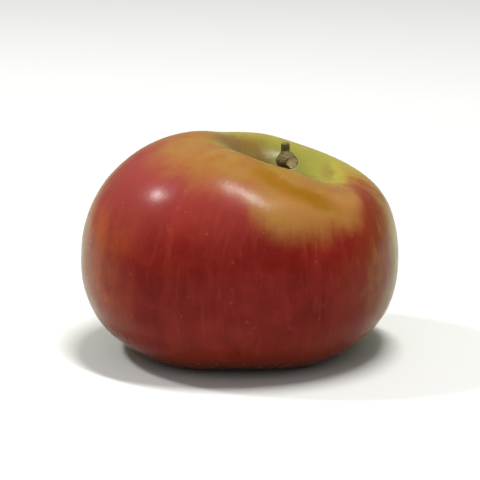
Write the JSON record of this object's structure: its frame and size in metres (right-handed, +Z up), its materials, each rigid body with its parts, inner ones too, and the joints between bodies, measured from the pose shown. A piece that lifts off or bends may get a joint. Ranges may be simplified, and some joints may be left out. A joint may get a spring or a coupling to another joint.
{
  "type": "apple",
  "caption": "Whole apple of a broad, flattish shape bent over to one side, with a short woody stalk in its cavity and a dried eye in the basin underneath.",
  "frame": {"origin": "on the resting surface, under the middle of the fruit", "axes": "+Z up from the resting surface to the stalk end, +X the way the shoulders lean"},
  "size_m": [0.0682, 0.0678, 0.0463],
  "materials": {
    "apple_skin": "waxy satin skin, deep red flush over yellow-green, with faint stripes and pale dots",
    "stalk_wood": "matte dark bark with a pale tan scar on one side, near the end",
    "dried_eye": "dry, dull, brown and slightly downy"
  },
  "bodies": {
    "root": {"fruit": "apple_skin", "stalk": "stalk_wood", "eye": "dried_eye"}
  },
  "joints": []
}
